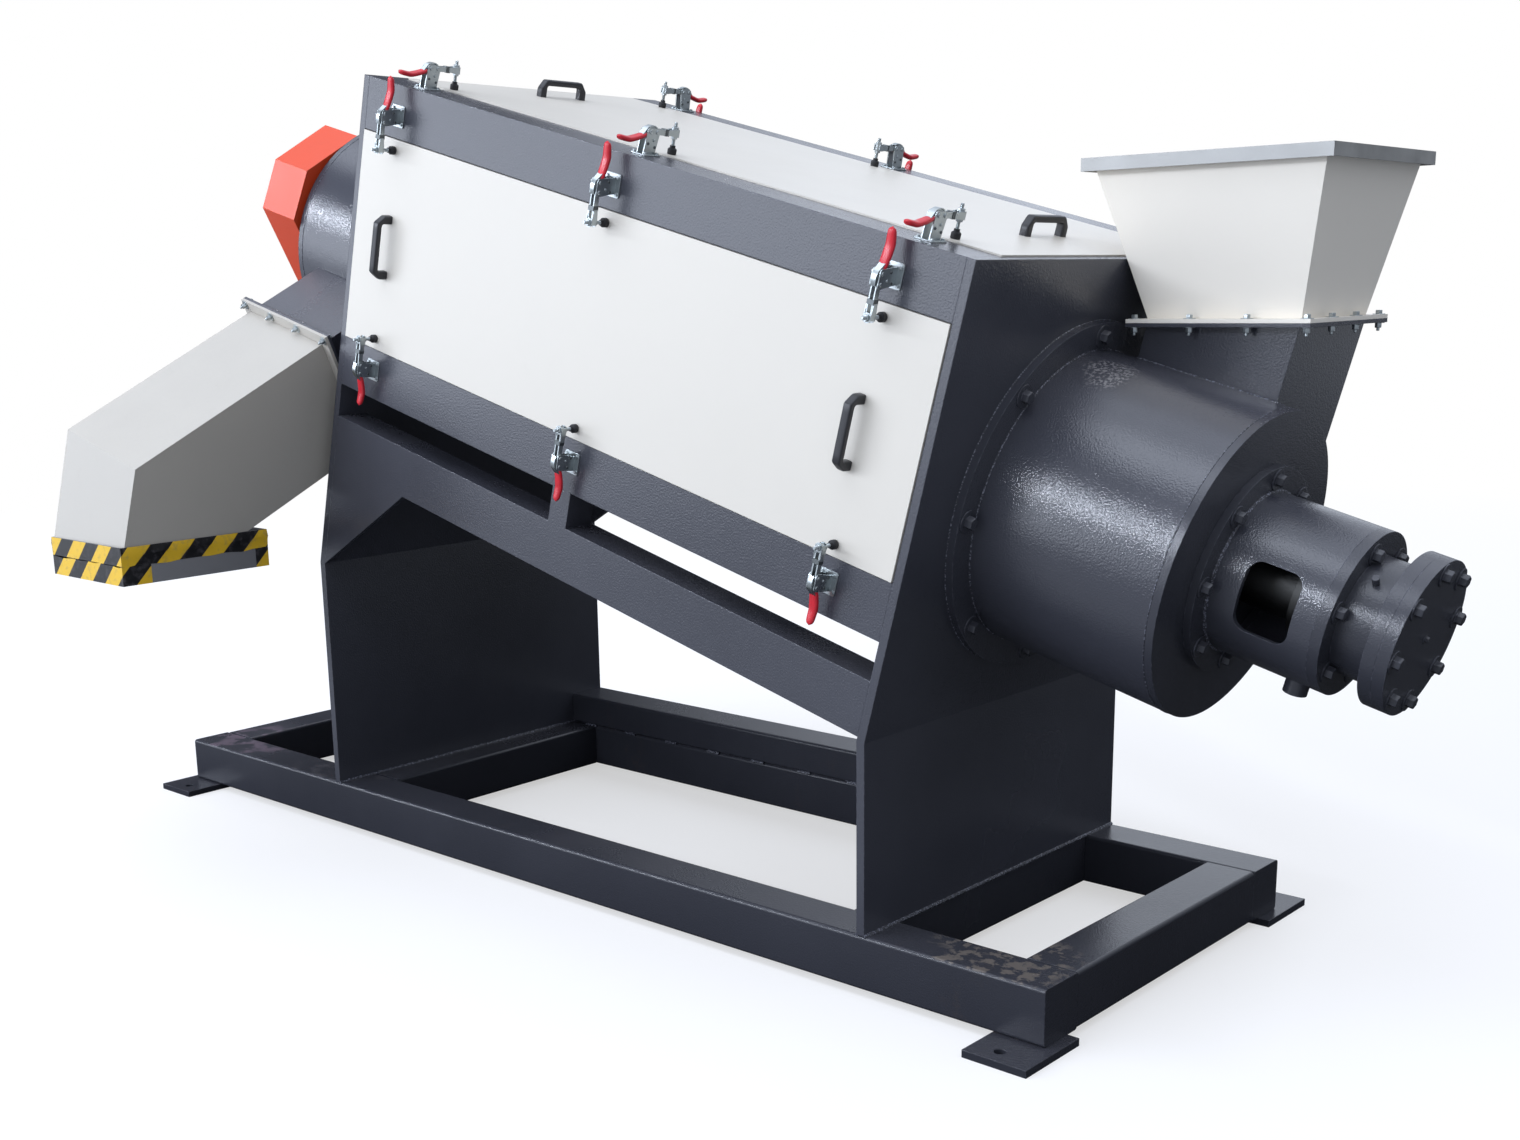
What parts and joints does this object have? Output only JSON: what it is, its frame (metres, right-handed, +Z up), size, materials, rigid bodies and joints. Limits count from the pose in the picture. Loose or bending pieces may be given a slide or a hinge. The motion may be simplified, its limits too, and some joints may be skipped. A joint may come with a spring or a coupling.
{
  "type": "inclined friction washer",
  "caption": "Inclined friction washer on a steel base frame: white lift-off covers on toggle clamps, feed hopper, lantern bearing, side discharge chute and belt drive.",
  "frame": {"origin": "floor level, in the centre of the four foot holes", "axes": "+X to the feed end, -Y to the side with the discharge chute, +Z up"},
  "size_m": [3.546, 1.6688, 1.9936],
  "materials": {
    "dark_paint": "semi_gloss",
    "white_paint": "satin",
    "orange_paint": "satin",
    "motor_paint": "semi_gloss",
    "grey_paint": "satin",
    "zinc_plate": "satin",
    "bare_steel": "satin",
    "stainless_screen": "satin",
    "black_plastic": "matte"
  },
  "bodies": {
    "machine": {"base_rail_front": "dark_paint", "base_rail_rear": "dark_paint", "bearing_fittings": "dark_paint", "bearing_housing": "dark_paint", "bearing_ring": "dark_paint", "belt_guard": "orange_paint", "bottom_tray": "dark_paint", "chute_flange": "white_paint", "clamps_cover_front": "zinc_plate", "clamps_cover_rear": "zinc_plate", "clamps_door_front": "zinc_plate", "clamps_door_rear": "zinc_plate", "cover_handles": "black_plastic", "cover_seat": "dark_paint", "cross_rail_discharge_end": "dark_paint", "cross_rail_discharge_plate": "dark_paint", "cross_rail_feed_end": "dark_paint", "cross_rail_feed_plate": "dark_paint", "discharge_box": "dark_paint", "discharge_box_flange": "dark_paint", "discharge_chute": "white_paint", "discharge_disc": "dark_paint", "discharge_drum": "dark_paint", "door_front": "white_paint", "door_handles_front": "black_plastic", "door_handles_rear": "black_plastic", "door_rear": "white_paint", "door_seat_front": "dark_paint", "door_seat_rear": "dark_paint", "drive_bearing": "dark_paint", "end_cover": "dark_paint", "end_plate_discharge": "dark_paint", "end_plate_feed": "dark_paint", "feed_chute": "dark_paint", "feed_chute_flange": "dark_paint", "feed_drum": "dark_paint", "feed_drum_disc": "dark_paint", "feed_ring_flange": "dark_paint", "foot_plates": "dark_paint", "hopper": "white_paint", "hopper_flange": "white_paint", "hopper_rim": "bare_steel", "lantern_tube": "dark_paint", "lower_band_front": "dark_paint", "lower_band_rear": "dark_paint", "motor": "motor_paint", "motor_stand": "dark_paint", "mouth_collar": "grey_paint", "rear_upper_beam": "dark_paint", "screen_drum": "stainless_screen", "side_beam_front": "dark_paint", "side_beam_rear": "dark_paint", "top_band_front": "dark_paint", "top_band_rear": "dark_paint", "top_cover": "white_paint"},
    "rotor": {"rotor_shaft": "bare_steel", "shaft_collar": "bare_steel", "feed_screw": "bare_steel", "throw_paddles": "bare_steel"}
  },
  "joints": [
    {"name": "rotor_spin", "type": "hinge", "parent": "machine", "child": "rotor", "pos_m": [0, 0, 1.328], "axis": [0.9659, 0, -0.2588], "continuous": true}
  ]
}
